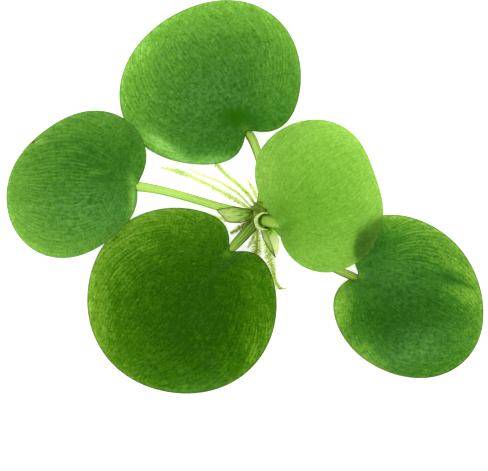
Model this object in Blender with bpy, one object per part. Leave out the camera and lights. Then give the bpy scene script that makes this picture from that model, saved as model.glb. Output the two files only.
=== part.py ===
"""Amazon frogbit, a small floating water plant, picked and laid flat on a surface.

Five round leaves on stalks, thin leafy sheaths and hairy roots all grow from one short crown.
Metres, +Z up. The origin is at the centre of the crown's flat underside, on the surface.
The driving sizes below are in millimetres, and angles are in degrees, turning left from +X.
"""

import math

import bmesh
import bpy
from mathutils import Vector

MM = 0.001

# Crown: height of each ring, its radius, and how far its centre leans from the origin
CROWN_RINGS = [
    (0.0, 1.65, (0.0, 0.0)),
    (0.3, 1.85, (0.0, 0.0)),
    (1.5, 1.95, (0.05, -0.1)),
    (2.8, 1.75, (0.15, -0.3)),
    (3.7, 1.3, (0.25, -0.5)),
    (4.1, 0.7, (0.3, -0.6)),
]
CROWN_SIDES = 20

# Leaves: the outline is a circle with a small oval and egg-shaped part, and a notch at the stalk.
# oval, egg and square are a share of the radius and the direction in which the leaf is fullest.
# lean raises the margin on the side it points to, and lowers it on the other side: the leaves
# that rest on their flat pads bend, and the young leaf on its raised stalk tilts as a whole.
# lobe raises one lobe of the right leaf, up to just below the young leaf: how far, the direction
# of its middle and its width.
LEAVES = {
    "leaf_front": {
        "centre": (-12.56, -13.95), "radius": 15.11, "stalk_side": 46.0,
        "oval": (0.022, -31.0), "egg": (0.005, 100.0), "square": (0.006, 37.0),
        "notch": (3.65, 10.4), "margin_height": 1.25, "lean": (0.12, -20.0), "dome": 0.95,
    },
    "leaf_back": {
        "centre": (-7.65, 20.79), "radius": 13.89, "stalk_side": -53.0,
        "oval": (0.071, 23.0), "egg": (0.026, -49.0), "square": (0.008, -52.0),
        "notch": (4.52, 15.7), "margin_height": 1.2, "lean": (0.35, 50.0), "dome": 0.9,
    },
    "leaf_left": {
        "centre": (-29.02, 4.78), "radius": 11.45, "stalk_side": -0.9,
        "oval": (0.117, 45.0), "egg": (0.004, 26.0), "square": (0.009, -24.0),
        "notch": (2.55, 21.0), "margin_height": 1.83, "lean": (0.6, 5.0), "dome": 0.7,
    },
    "leaf_right": {
        "centre": (23.29, -13.27), "radius": 12.74, "stalk_side": 153.8,
        "oval": (0.088, 127.0), "egg": (0.006, 99.0), "square": (0.013, 129.0),
        "notch": (5.3, 19.5), "margin_height": 1.25, "lean": (0.1, 60.0), "dome": 0.85,
        "lobe": (1.8, 134.0, 18.0),
    },
    "leaf_young": {
        "centre": (9.63, 3.04), "radius": 10.88, "stalk_side": -145.0,
        "oval": (0.141, -69.0), "egg": (0.023, -85.0), "square": (0.023, -110.0),
        "notch": (0.85, 11.1), "margin_height": 5.2, "lean": (2.9, 175.0), "dome": 0.5,
    },
}
MARGIN_THICKNESS = 0.45
PAD_SHARE = 0.64
YOUNG_MARGIN_THICKNESS = 0.3
YOUNG_PAD_THICKNESS = 0.15
LEAF_DIRECTIONS = 48
LEAF_CROWDING = 1.4
LEAF_RINGS = (0.3, 0.6, 0.76, 0.9, 1.0)
DOME_POWER = 2.2
NOTCH_POWER = 1.5
LOBE_POWER = 3

# Stalks: the points that the middle passes through, and the radius at the crown, middle and leaf
PETIOLES = {
    "petiole_front": ([(-1.52, -1.7, 2.1), (-2.7, -3.2, 1.95), (-3.95, -4.8, 1.25)], (0.85, 0.8, 0.7)),
    "petiole_back": (
        [(0.15, 2.1, 2.0), (0.5, 4.6, 2.5), (-0.1, 8.2, 2.5), (-1.1, 11.2, 1.75), (-1.75, 12.6, 1.15)],
        (0.65, 0.6, 0.6),
    ),
    "petiole_left": (
        [(-2.2, 0.2, 2.0), (-6.4, 1.15, 2.2), (-11.2, 2.6, 2.6), (-16.0, 3.85, 2.7), (-19.6, 4.45, 2.3)],
        (0.65, 0.62, 0.65),
    ),
    "petiole_right": (
        [(1.95, -1.6, 1.4), (5.2, -4.7, 2.0), (8.6, -7.3, 2.2), (12.0, -8.9, 2.15), (14.95, -9.68, 1.9)],
        (0.6, 0.55, 0.55),
    ),
    "petiole_young": (
        [(1.0, -1.15, 4.5), (1.3, -1.2, 5.2), (2.4, -1.45, 5.9), (3.6, -1.65, 6.2)],
        (0.88, 0.95, 0.75),
    ),
}
PETIOLE_SIDES = 12
PETIOLE_STEP = 1.2

# Sheaths and bracts: middle line, half width at each point, and how far the middle arches up
SHEATHS = {
    "sheath_left": (
        [(-1.85, -0.05, 3.1), (-3.2, -0.2, 3.15), (-4.7, -0.1, 3.2), (-5.6, 0.2, 3.3), (-6.9, 0.6, 3.3)],
        (0.9, 1.25, 1.3, 0.85, 0.12), 0.75,
    ),
    "sheath_right": (
        [(1.1, -2.15, 2.5), (1.9, -3.4, 2.4), (2.3, -4.5, 2.1), (2.6, -5.6, 1.8), (2.7, -6.5, 1.6)],
        (0.5, 0.85, 0.8, 0.5, 0.12), 0.15,
    ),
    "sheath_front": (
        [(-0.65, -2.2, 1.3), (-0.9, -3.2, 1.2), (-1.25, -4.1, 1.1), (-1.65, -4.9, 1.0), (-2.0, -5.5, 0.95)],
        (0.14, 0.2, 0.24, 0.24, 0.1), 0.1,
    ),
    "bract_front": (
        [(0.38, -2.35, 3.1), (0.9, -3.7, 3.2), (1.4, -4.8, 3.0), (1.95, -5.9, 2.6), (2.5, -7.0, 2.1)],
        (0.4, 0.5, 0.46, 0.3, 0.1), 0.15,
    ),
    "bract_back": (
        [(-0.35, 1.72, 3.55), (0.3, 1.55, 3.8), (1.05, 1.1, 3.95), (1.7, 0.45, 4.05), (2.15, -0.15, 4.05)],
        (0.25, 0.35, 0.35, 0.25, 0.1), 0.1,
    ),
}
SHEATH_THICKNESS = 0.22
SHEATH_LENGTHWISE = 10
SHEATH_ACROSS = 4

# Collar: an open C of sheath round the foot of the young stalk, lower at its two free edges
COLLAR_CENTRE = (0.92, -1.17)
COLLAR_INNER_RADIUS = 1.24
COLLAR_THICKNESS = 0.2
COLLAR_BOTTOM = 4.5
COLLAR_TOP = 5.7
COLLAR_EDGE_SHARE = 0.45
COLLAR_LEAN = (-0.5, -0.05)
COLLAR_START = 72.0
COLLAR_TURN = 212.0
COLLAR_STEPS = 20

# Roots: middle line of the hairy plume, and half its width at each point, out to the hair tips
ROOTS = {
    "root_long": (
        [(-1.95, 1.02, 0.75), (-3.2, 1.85, 0.6), (-5.2, 3.05, 0.5), (-8.3, 4.7, 0.5), (-11.3, 6.15, 0.5),
         (-13.4, 6.95, 0.45), (-16.0, 7.5, 0.35)],
        (0.3, 0.52, 0.65, 0.48, 0.5, 0.65, 0.2),
    ),
    "root_thin": (
        [(-1.68, 1.45, 1.45), (-3.3, 3.1, 1.2), (-6.2, 5.05, 0.8), (-9.2, 6.25, 0.8), (-11.4, 7.25, 0.6)],
        (0.22, 0.38, 0.42, 0.28, 0.15),
    ),
    "root_back": (
        [(-1.05, 1.95, 0.7), (-2.4, 3.75, 0.5), (-5.2, 6.15, 0.45), (-6.95, 7.95, 0.4), (-7.8, 8.9, 0.3)],
        (0.3, 0.6, 0.5, 0.4, 0.2),
    ),
    "root_back_short": (
        [(-0.3, 2.17, 1.05), (-0.8, 3.4, 1.15), (-1.55, 4.75, 0.85), (-2.1, 5.6, 0.55)],
        (0.3, 0.6, 0.5, 0.2),
    ),
    "root_front_short": (
        [(-0.38, -2.2, 0.65), (-0.45, -4.1, 0.42), (-0.6, -6.0, 0.45), (-0.8, -7.3, 0.4)],
        (0.36, 0.95, 1.1, 0.6),
    ),
    "root_front_long": (
        [(0.6, -2.18, 1.0), (1.0, -4.4, 1.4), (1.5, -6.8, 0.72), (2.05, -9.0, 0.5), (2.65, -11.2, 0.45),
         (3.4, -11.95, 0.35), (4.4, -11.9, 0.2)],
        (0.32, 0.85, 0.95, 0.75, 0.55, 0.28, 0.1),
    ),
    "root_left_dark": (
        [(-2.0, -1.15, 0.6), (-3.1, -2.15, 0.5), (-4.7, -3.1, 0.35)],
        (0.3, 0.65, 0.35),
    ),
    "root_left_pale": (
        [(-2.2, -0.2, 0.8), (-3.6, -0.7, 0.7), (-5.3, -0.9, 0.5), (-7.5, -0.3, 0.35)],
        (0.25, 0.5, 0.6, 0.25),
    ),
}
ROOT_SIDES = 8
ROOT_STEP = 1.0
ROOT_FLATNESS = 0.36

# The share of a line's length over which its direction is measured, to each side
DIRECTION_REACH = 0.01

# Colours, red, green and blue from 0 to 1
DARK_LEAF = (0.07, 0.22, 0.02)
YOUNG_LEAF = (0.30, 0.55, 0.08)
STALK = (0.40, 0.62, 0.14)
SHEATH = (0.42, 0.55, 0.18)
ROOT = (0.66, 0.80, 0.33)
CROWN = (0.16, 0.24, 0.03)


def material(name, colour, roughness):
    """A plain material of that colour."""
    made = bpy.data.materials.new(name)
    made.use_nodes = True
    shader = made.node_tree.nodes["Principled BSDF"]
    shader.inputs["Base Color"].default_value = (*colour, 1.0)
    shader.inputs["Roughness"].default_value = roughness
    shader.inputs["Metallic"].default_value = 0.0
    return made


def add_solid(name, points, faces, colour, roughness=0.45):
    """An object of that name from points in millimetres, with its faces turned outwards."""
    mesh = bpy.data.meshes.new(name)
    shape = bmesh.new()
    corners = [shape.verts.new(Vector(point) * MM) for point in points]
    for face in faces:
        shape.faces.new([corners[index] for index in face])
    bmesh.ops.recalc_face_normals(shape, faces=shape.faces)
    shape.to_mesh(mesh)
    shape.free()
    mesh.shade_smooth()
    mesh.materials.append(material(name, colour, roughness))
    solid = bpy.data.objects.new(name, mesh)
    bpy.context.scene.collection.objects.link(solid)
    return solid


def joined_rings(ring_count, sides, first):
    """Faces between rings of points that follow each other, the first point at index first."""
    faces = []
    for ring in range(ring_count - 1):
        for side in range(sides):
            a = first + ring * sides + side
            b = first + ring * sides + (side + 1) % sides
            faces.append((a, b, b + sides, a + sides))
    return faces


def smooth_point(points, share):
    """The point at that share of a smooth line through the points, evenly spread over its spans."""
    span_count = len(points) - 1
    place = min(share * span_count, span_count - 1e-9)
    span = int(place)
    t = place - span
    around = [points[min(max(span + offset, 0), span_count)] for offset in (-1, 0, 1, 2)]
    p0, p1, p2, p3 = [Vector(point) for point in around]
    bend = 2 * p0 - 5 * p1 + 4 * p2 - p3
    twist = 3 * p1 - p0 - 3 * p2 + p3
    return 0.5 * (2 * p1 + (p2 - p0) * t + bend * t * t + twist * t ** 3)


def between(values, share):
    """The value at that share of a row of values."""
    place = min(share, 1.0) * (len(values) - 1)
    index = min(int(place), len(values) - 2)
    return values[index] + (values[index + 1] - values[index]) * (place - index)


def smooth_step(share):
    """A share that starts and ends softly."""
    share = min(max(share, 0.0), 1.0)
    return share * share * (3 - 2 * share)


def line_steps(points, step):
    """How many parts of about that length a line through the points has."""
    length = sum((Vector(b) - Vector(a)).length for a, b in zip(points, points[1:]))
    return max(5, round(length / step))


def add_tube(name, points, radii, sides, step, colour, flatness=1.0):
    """A round or flattened stalk along a smooth line, with its two ends closed flat."""
    steps = line_steps(points, step)
    corners = []
    for number in range(steps + 1):
        share = number / steps
        middle = smooth_point(points, share)
        ahead = smooth_point(points, min(share + DIRECTION_REACH, 1.0))
        behind = smooth_point(points, max(share - DIRECTION_REACH, 0.0))
        along = (ahead - behind).normalized()
        across = along.cross(Vector((0, 0, 1))).normalized()
        upward = across.cross(along)
        radius = between(radii, share)
        for side in range(sides):
            turn = 2 * math.pi * side / sides
            reach = across * math.cos(turn) + upward * math.sin(turn) * flatness
            corners.append(middle + reach * radius)
    faces = joined_rings(steps + 1, sides, 0)
    faces.append(tuple(range(sides)))
    faces.append(tuple(range(steps * sides, (steps + 1) * sides)))
    return add_solid(name, corners, faces, colour)


def add_crown():
    """The squat stem, turned from rings whose centres lean a little."""
    corners = []
    for height, radius, (lean_x, lean_y) in CROWN_RINGS:
        for side in range(CROWN_SIDES):
            turn = 2 * math.pi * side / CROWN_SIDES
            x = lean_x + radius * math.cos(turn)
            y = lean_y + radius * math.sin(turn)
            corners.append((x, y, height))
    faces = joined_rings(len(CROWN_RINGS), CROWN_SIDES, 0)
    faces.append(tuple(range(CROWN_SIDES)))
    faces.append(tuple(range(len(corners) - CROWN_SIDES, len(corners))))
    add_solid("crown", corners, faces, CROWN, roughness=0.6)


def leaf_directions():
    """Directions round a leaf, counted from its stalk side and closest together at the notch."""
    directions = []
    for number in range(LEAF_DIRECTIONS):
        share = 2 * number / LEAF_DIRECTIONS - 1
        directions.append(math.copysign(math.pi * abs(share) ** LEAF_CROWDING, share))
    return directions


def leaf_reach(leaf, direction):
    """Distance from the leaf's centre to its margin, in a direction counted from the stalk side."""
    shape = 1.0
    for lobes, key in ((2, "oval"), (3, "egg"), (4, "square")):
        amount, fullest = leaf[key]
        fullest = math.radians(fullest - leaf["stalk_side"])
        shape += amount * math.cos(lobes * (direction - fullest))
    depth, width = leaf["notch"]
    notch = depth * math.exp(-abs(direction / math.radians(width)) ** NOTCH_POWER)
    return leaf["radius"] * shape - notch


def leaf_heights(leaf, share, turn, raised):
    """Heights of the underside and the top, at a share of the reach and a direction from +X."""
    amount, raised_side = leaf["lean"]
    lift = amount * math.cos(turn - math.radians(raised_side))
    lift *= share if raised else share ** 2
    if "lobe" in leaf:
        rise, middle, width = leaf["lobe"]
        aside = math.remainder(turn - math.radians(middle), 2 * math.pi)
        lift += rise * math.exp(-(aside / math.radians(width)) ** 2) * share ** LOBE_POWER
    low = leaf["margin_height"] + lift
    edge = YOUNG_MARGIN_THICKNESS if raised else MARGIN_THICKNESS
    top = low + edge + leaf["dome"] * (1 - share ** DOME_POWER)
    rim = smooth_step((share - PAD_SHARE) / (1 - PAD_SHARE))
    if raised:
        return top - edge - YOUNG_PAD_THICKNESS * (1 - rim), top
    return low * rim, top


def add_leaf(name, leaf):
    """A round blade with a thin margin and a thick spongy pad below its middle."""
    raised = name == "leaf_young"
    centre_x, centre_y = leaf["centre"]
    directions = leaf_directions()
    stalk_side = math.radians(leaf["stalk_side"])
    rings = {"top": [], "underside": []}
    for share in LEAF_RINGS:
        for direction in directions:
            turn = stalk_side + direction
            reach = share * leaf_reach(leaf, direction)
            x = centre_x + reach * math.cos(turn)
            y = centre_y + reach * math.sin(turn)
            underside, top = leaf_heights(leaf, share, turn, raised)
            rings["top"].append((x, y, top))
            rings["underside"].append((x, y, underside))
    low_middle, high_middle = leaf_heights(leaf, 0.0, 0.0, raised)
    corners = [(centre_x, centre_y, high_middle), (centre_x, centre_y, low_middle)]
    corners += rings["top"] + rings["underside"]
    first_top = 2
    first_under = first_top + len(rings["top"])
    faces = joined_rings(len(LEAF_RINGS), LEAF_DIRECTIONS, first_top)
    faces += joined_rings(len(LEAF_RINGS), LEAF_DIRECTIONS, first_under)
    last_ring = (len(LEAF_RINGS) - 1) * LEAF_DIRECTIONS
    for side in range(LEAF_DIRECTIONS):
        following = (side + 1) % LEAF_DIRECTIONS
        faces.append((0, first_top + side, first_top + following))
        faces.append((1, first_under + side, first_under + following))
        top_a = first_top + last_ring + side
        top_b = first_top + last_ring + following
        under_a = first_under + last_ring + side
        under_b = first_under + last_ring + following
        faces.append((top_a, top_b, under_b, under_a))
    add_solid(name, corners, faces, YOUNG_LEAF if raised else DARK_LEAF, roughness=0.35)


def add_sheath(name, points, half_widths, arch):
    """A thin pointed scale along a smooth line, arched up across its width."""
    columns = SHEATH_ACROSS + 1
    upper = []
    lower = []
    for number in range(SHEATH_LENGTHWISE + 1):
        share = number / SHEATH_LENGTHWISE
        middle = smooth_point(points, share)
        ahead = smooth_point(points, min(share + DIRECTION_REACH, 1.0))
        behind = smooth_point(points, max(share - DIRECTION_REACH, 0.0))
        across = (ahead - behind).cross(Vector((0, 0, 1))).normalized()
        half_width = between(half_widths, share)
        fullness = half_width / max(half_widths)
        for column in range(columns):
            side = 2 * column / SHEATH_ACROSS - 1
            point = middle + across * side * half_width
            point.z += arch * fullness * (1 - side * side)
            upper.append(point + Vector((0, 0, SHEATH_THICKNESS)))
            lower.append(point)
    faces = []
    rows = SHEATH_LENGTHWISE + 1
    under = rows * columns
    for row in range(SHEATH_LENGTHWISE):
        for column in range(SHEATH_ACROSS):
            a = row * columns + column
            faces.append((a, a + 1, a + columns + 1, a + columns))
            faces.append((under + a, under + a + columns, under + a + columns + 1, under + a + 1))
    for row in range(SHEATH_LENGTHWISE):
        for column in (0, SHEATH_ACROSS):
            a = row * columns + column
            faces.append((a, a + columns, under + a + columns, under + a))
    for column in range(SHEATH_ACROSS):
        for row in (0, SHEATH_LENGTHWISE):
            a = row * columns + column
            faces.append((a, a + 1, under + a + 1, under + a))
    add_solid(name, upper + lower, faces, SHEATH, roughness=0.5)


def add_collar():
    """An open C of thin wall round the young stalk, lower at its two free edges."""
    centre_x, centre_y = COLLAR_CENTRE
    lean_x, lean_y = COLLAR_LEAN
    outer_radius = COLLAR_INNER_RADIUS + COLLAR_THICKNESS
    corners = []
    for number in range(COLLAR_STEPS + 1):
        share = number / COLLAR_STEPS
        turn = math.radians(COLLAR_START + share * COLLAR_TURN)
        height = COLLAR_TOP - COLLAR_BOTTOM
        height *= COLLAR_EDGE_SHARE + (1 - COLLAR_EDGE_SHARE) * math.sin(math.pi * share)
        for level in (0, 1):
            for radius in (COLLAR_INNER_RADIUS, outer_radius):
                x = centre_x + level * lean_x + radius * math.cos(turn)
                y = centre_y + level * lean_y + radius * math.sin(turn)
                corners.append((x, y, COLLAR_BOTTOM + level * height))
    faces = []
    for number in range(COLLAR_STEPS):
        a = number * 4
        for near, far in ((0, 1), (1, 3), (3, 2), (2, 0)):
            faces.append((a + near, a + far, a + far + 4, a + near + 4))
    faces.append((0, 1, 3, 2))
    last = COLLAR_STEPS * 4
    faces.append((last, last + 1, last + 3, last + 2))
    add_solid("sheath_young", corners, faces, SHEATH, roughness=0.5)


for old in list(bpy.data.objects):
    bpy.data.objects.remove(old)

add_crown()
for leaf_name, leaf_shape in LEAVES.items():
    add_leaf(leaf_name, leaf_shape)
for stalk_name, (stalk_points, stalk_radii) in PETIOLES.items():
    add_tube(stalk_name, stalk_points, stalk_radii, PETIOLE_SIDES, PETIOLE_STEP, STALK)
for sheath_name, (sheath_points, sheath_widths, sheath_arch) in SHEATHS.items():
    add_sheath(sheath_name, sheath_points, sheath_widths, sheath_arch)
add_collar()
for root_name, (root_points, root_radii) in ROOTS.items():
    add_tube(root_name, root_points, root_radii, ROOT_SIDES, ROOT_STEP, ROOT, ROOT_FLATNESS)
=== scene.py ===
"""Amazon frogbit, a small floating water plant, picked and laid flat on a pale light table.

The sections follow the plant outwards from its crown: the crown, the stalks, the leaves, the
sheaths round the crown, and the roots. Then come the table, the light and the camera.
Lengths are in millimetres, as in the plant's own measurements, and add_piece makes them metres.
"""

import math

import bpy
import numpy as np
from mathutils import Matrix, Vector
from mathutils.kdtree import KDTree


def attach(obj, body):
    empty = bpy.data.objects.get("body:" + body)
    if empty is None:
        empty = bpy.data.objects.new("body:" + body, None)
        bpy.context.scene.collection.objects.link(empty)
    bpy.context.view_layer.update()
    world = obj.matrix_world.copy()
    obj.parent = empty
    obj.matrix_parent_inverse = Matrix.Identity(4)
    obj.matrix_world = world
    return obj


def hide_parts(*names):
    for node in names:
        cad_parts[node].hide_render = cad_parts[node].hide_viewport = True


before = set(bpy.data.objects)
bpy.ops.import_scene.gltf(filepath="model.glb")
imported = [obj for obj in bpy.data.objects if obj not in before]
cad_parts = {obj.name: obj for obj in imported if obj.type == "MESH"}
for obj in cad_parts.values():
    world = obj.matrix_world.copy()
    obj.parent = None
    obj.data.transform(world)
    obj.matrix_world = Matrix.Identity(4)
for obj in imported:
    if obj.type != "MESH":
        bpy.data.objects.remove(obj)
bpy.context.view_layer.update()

# Crown
# The squat stem that everything grows from, about 4 mm high: fresh fibrous tissue wrapped in the
# browned bases of old leaves. Its foot is cut flat and rests on the table. Each ring gives its
# height, its radius and how far its middle lies to the right and to the back.
CROWN_RINGS = [
    (0.0, 1.65, 0.0, 0.0),
    (0.3, 1.85, 0.0, 0.0),
    (1.5, 1.95, 0.05, -0.1),
    (2.8, 1.75, 0.15, -0.3),
    (3.7, 1.3, 0.25, -0.5),
    (4.1, 0.7, 0.3, -0.6),
]
CROWN_SIDES = 120
CROWN_LEVELS = 60
CROWN_FIBRES = 26
FIBRE_DEPTH = 0.05
LEAF_BASE_DEPTH = 0.07


def linear(colour):
    """The linear colour of an sRGB hex value."""
    shares = [int(colour[place:place + 2], 16) / 255 for place in (1, 3, 5)]
    return (*(c / 12.92 if c <= 0.04045 else ((c + 0.055) / 1.055) ** 2.4 for c in shares), 1.0)


def add_node(tree, kind, inputs=None, stops=(), out=0, **settings):
    """Adds a shader node, links or sets its inputs, colours any ramp, and returns one output."""
    node = tree.nodes.new("ShaderNode" + kind)
    for setting, value in settings.items():
        setattr(node, setting, value)
    for place, value in (inputs or {}).items():
        if isinstance(value, bpy.types.NodeSocket):
            tree.links.new(value, node.inputs[place])
        else:
            node.inputs[place].default_value = value
    for number, (position, colour) in enumerate(stops):
        ramp = node.color_ramp.elements
        stop = ramp[number] if number < len(ramp) else ramp.new(position)
        stop.position = position
        stop.color = linear(colour)
    return node.outputs[out] if node.outputs else None


def new_material(name):
    """An empty material of that name, and its node tree."""
    made = bpy.data.materials.new(name)
    made.use_nodes = True
    made.node_tree.nodes.clear()
    return made, made.node_tree


def add_piece(name, points, faces, materials, node, slot, face_materials=None, **values):
    """A smooth mesh from points in millimetres that replaces a node, with values on its points."""
    mesh = bpy.data.meshes.new(name)
    mesh.from_pydata((np.asarray(points) * 0.001).tolist(), [], faces)
    for material in materials:
        mesh.materials.append(material)
    if face_materials is not None:
        mesh.polygons.foreach_set("material_index", np.asarray(face_materials, np.int32))
    for key, value in values.items():
        value = np.asarray(value, np.float32)
        form, field = ("FLOAT_VECTOR", "vector") if value.ndim == 2 else ("FLOAT", "value")
        mesh.attributes.new(key, form, "POINT").data.foreach_set(field, value.ravel())
    mesh.shade_smooth()
    mesh.update()
    piece = bpy.data.objects.new(name, mesh)
    bpy.context.scene.collection.objects.link(piece)
    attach(piece, "root")
    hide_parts(node)


def ring_faces(rings, sides):
    """Four-cornered faces between closed rings of points, facing up where the rings open out."""
    ring, side = np.meshgrid(np.arange(rings - 1), np.arange(sides), indexing="ij")
    a = ring * sides + side
    b = ring * sides + (side + 1) % sides
    return np.stack([a, a + sides, b + sides, b], axis=-1).reshape(-1, 4).tolist()


def tube_faces(rings, sides):
    """The faces of a tube of closed rings of points, with flat ends."""
    faces = [face[::-1] for face in ring_faces(rings, sides)]
    return faces + [list(range(sides))[::-1], list(range((rings - 1) * sides, rings * sides))]


# Bruised fibrous tissue: matt, dark olive in the grooves, yellower on the fibres
crown_tissue, tree = new_material("crown_fibrous_tissue")
fibre = add_node(tree, "Attribute", out="Fac", attribute_name="fibre")
place = add_node(tree, "TexCoord", out="Object")
speckle = add_node(tree, "TexNoise", {"Vector": place, "Scale": 2600.0, "Detail": 4.0})
shade = add_node(tree, "Math", {0: speckle, 1: 0.55, 2: fibre}, operation="MULTIPLY_ADD")
shade = add_node(tree, "Math", {0: shade, 1: 0.27}, operation="SUBTRACT")
colour = add_node(tree, "ValToRGB", {"Fac": shade},
                  stops=[(0.0, "#323A04"), (0.35, "#688716"), (0.7, "#A0BA3C"), (1.0, "#D8E87C")])
bump = add_node(tree, "Bump", {"Height": speckle, "Strength": 0.4, "Distance": 0.0001})
surface = add_node(tree, "BsdfPrincipled", {"Base Color": colour, "Roughness": 0.7,
                                            "Specular IOR Level": 0.2, "Normal": bump})
add_node(tree, "OutputMaterial", {"Surface": surface})

heights, radii, leans_right, leans_back = np.array(CROWN_RINGS).T
height, turn = np.meshgrid(np.linspace(0, 1, CROWN_LEVELS) ** 0.9 * heights[-1],
                           np.arange(CROWN_SIDES) * 2 * math.pi / CROWN_SIDES, indexing="ij")
wander = np.sin(height * 1.7 + 3 * turn) + 0.8 * np.sin(7 * turn - height * 0.9)
fibre = np.cos(CROWN_FIBRES * turn + 2.2 * height + wander) * (1 + np.sin(2 * turn + 5 * height))
fibre = 0.5 + 0.3 * fibre
leaf_base = 0.5 + 0.5 * np.sin(5 * turn + height * 2.6)
grown = 1 - FIBRE_DEPTH * (1 - fibre) - LEAF_BASE_DEPTH * leaf_base * height / heights[-1]
grown = grown * np.interp(height, heights, radii)
points = [np.interp(height, heights, leans_right) + grown * np.cos(turn),
          np.interp(height, heights, leans_back) + grown * np.sin(turn), height]
add_piece("crown_stem", np.stack(points, axis=-1).reshape(-1, 3),
          tube_faces(CROWN_LEVELS, CROWN_SIDES), [crown_tissue], "crown", "crown",
          fibre=(0.42 * fibre - 0.22 * leaf_base + 0.16).ravel())

# Stalks
# Five juicy leaf stalks, 1.1 to 1.9 mm thick, with thin-skinned ribs along them over air-filled
# tissue. Each grows out of the crown, and its tip runs into the underside of its leaf's notch.

# The tone is how pale the skin is from the crown to the leaf, and the line how pale the ribs are
STALKS = {
    "petiole_front": {
        "route": [(-0.85, -1.3, 1.95), (-1.4, -2.1, 2.1), (-2.65, -3.5, 1.95), (-3.95, -4.9, 1.15),
                  (-4.9, -6.0, 0.75)],
        "radii": (0.85, 0.93, 0.9, 0.8, 0.55),
        "ribs": 11, "rib_depth": 0.05, "line": 0.13,
        "tone": (0.3, 0.36, 0.44, 0.6, 0.7),
    },
    "petiole_back": {
        "route": [(0.05, 1.2, 1.85), (0.15, 2.1, 2.0), (0.5, 4.6, 2.5), (0.05, 8.2, 2.5),
                  (-0.92, 11.2, 1.65), (-1.62, 12.6, 0.85), (-2.2, 13.6, 0.65)],
        "radii": (0.6, 0.66, 0.67, 0.69, 0.73, 0.75, 0.52),
        "ribs": 9, "rib_depth": 0.02, "line": 0.1,
        "tone": (0.55, 0.65, 0.75, 0.75, 0.76, 0.55, 0.0), "bruised_side": math.pi,
    },
    "petiole_left": {
        "route": [(-1.2, 0.0, 1.85), (-2.2, 0.2, 2.0), (-6.4, 1.12, 2.2), (-11.2, 2.54, 2.6),
                  (-16.0, 3.79, 2.7), (-19.5, 4.38, 2.1), (-20.9, 4.5, 1.7)],
        "radii": (0.6, 0.66, 0.68, 0.67, 0.69, 0.79, 0.5),
        "ribs": 9, "rib_depth": 0.018, "line": 0.08,
        "tone": (0.72, 0.84, 0.94),
    },
    "petiole_right": {
        "route": [(1.1, -1.0, 1.3), (1.95, -1.6, 1.4), (5.2, -4.7, 2.0), (8.6, -7.2, 2.2),
                  (12.0, -8.78, 2.1), (14.6, -9.88, 1.7), (16.0, -10.45, 1.25)],
        "radii": (0.55, 0.6, 0.57, 0.58, 0.62, 0.7, 0.4),
        "ribs": 9, "rib_depth": 0.02, "line": 0.12,
        "tone": (0.55, 0.65, 0.72, 0.78, 0.82, 0.55, 0.05), "bruised_side": 0.0,
    },
    "petiole_young": {
        "route": [(0.8, -1.05, 3.9), (1.0, -1.15, 4.5), (1.3, -1.2, 5.2), (2.4, -1.45, 5.9),
                  (3.6, -1.65, 6.2), (4.6, -1.5, 6.45)],
        "radii": (0.85, 0.88, 0.93, 0.92, 0.78, 0.35),
        "ribs": 12, "rib_depth": 0.02, "line": 0.04,
        # the darker foot is painted shade inside the collar
        "tone": (0.3, 0.46, 0.66, 0.75, 0.8),
    },
}
STALK_SIDES = 66
STALK_STEP = 0.22
BRUISE = 0.9


def smooth_points(points, shares):
    """Points at those shares of a smooth line through the given points."""
    points = np.array(points, float)
    span_count = len(points) - 1
    place = np.minimum(np.asarray(shares, float) * span_count, span_count - 1e-9)
    span = place.astype(int)
    t = (place - span)[:, None]
    p0, p1, p2, p3 = (points[np.clip(span + offset, 0, span_count)] for offset in (-1, 0, 1, 2))
    bend = 2 * p0 - 5 * p1 + 4 * p2 - p3
    twist = 3 * p1 - p0 - 3 * p2 + p3
    return 0.5 * (2 * p1 + (p2 - p0) * t + bend * t ** 2 + twist * t ** 3)


def line_frames(points, shares):
    """Middles, directions, level sideways arrows and upward arrows at shares of a smooth line."""
    along = smooth_points(points, np.minimum(shares + 0.01, 1))
    along = along - smooth_points(points, np.maximum(shares - 0.01, 0))
    along /= np.linalg.norm(along, axis=1)[:, None]
    across = np.cross(along, (0, 0, 1))
    across /= np.linalg.norm(across, axis=1)[:, None]
    return smooth_points(points, shares), along, across, np.cross(across, along)


def along_values(values, shares):
    """The values between those of a row spread evenly along a line."""
    return np.interp(shares, np.linspace(0, 1, len(values)), values)


def tube_points(points, radii, sides, step, ribs=0, rib_depth=0.0):
    """A tube's points ring by ring, with the turn, rib and length share of each, and the rings."""
    legs = np.diff(np.array(points, float), axis=0)
    count = max(6, round(np.linalg.norm(legs, axis=1).sum() / step))
    shares = np.linspace(0, 1, count + 1)
    middles, _, across, upward = line_frames(points, shares)
    turn = 2 * math.pi * np.arange(sides) / sides
    rib = np.cos(ribs * turn)
    radius = along_values(radii, shares)[:, None] * (1 + rib_depth * (rib - 1))
    corner = across[:, None] * np.cos(turn)[:, None] + upward[:, None] * np.sin(turn)[:, None]
    corner = (middles[:, None] + corner * radius[:, :, None]).reshape(-1, 3)
    rings = count + 1
    return corner, np.tile(turn, rings), np.tile(rib, rings), np.repeat(shares, sides), rings


def thin_tissue(tree, colour, see_through, roughness, shine, facing=None):
    """Ends a material as a skin with some shine that lets a share of the light glow through."""
    normal = {"Normal": facing} if facing else {}
    skin = add_node(tree, "BsdfPrincipled", {"Base Color": colour, "Roughness": roughness,
                                             "Specular IOR Level": shine, **normal})
    glow = add_node(tree, "BsdfTranslucent", {"Color": colour, **normal})
    mixed = add_node(tree, "MixShader", {0: see_through, 1: skin, 2: glow})
    add_node(tree, "OutputMaterial", {"Surface": mixed})
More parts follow.
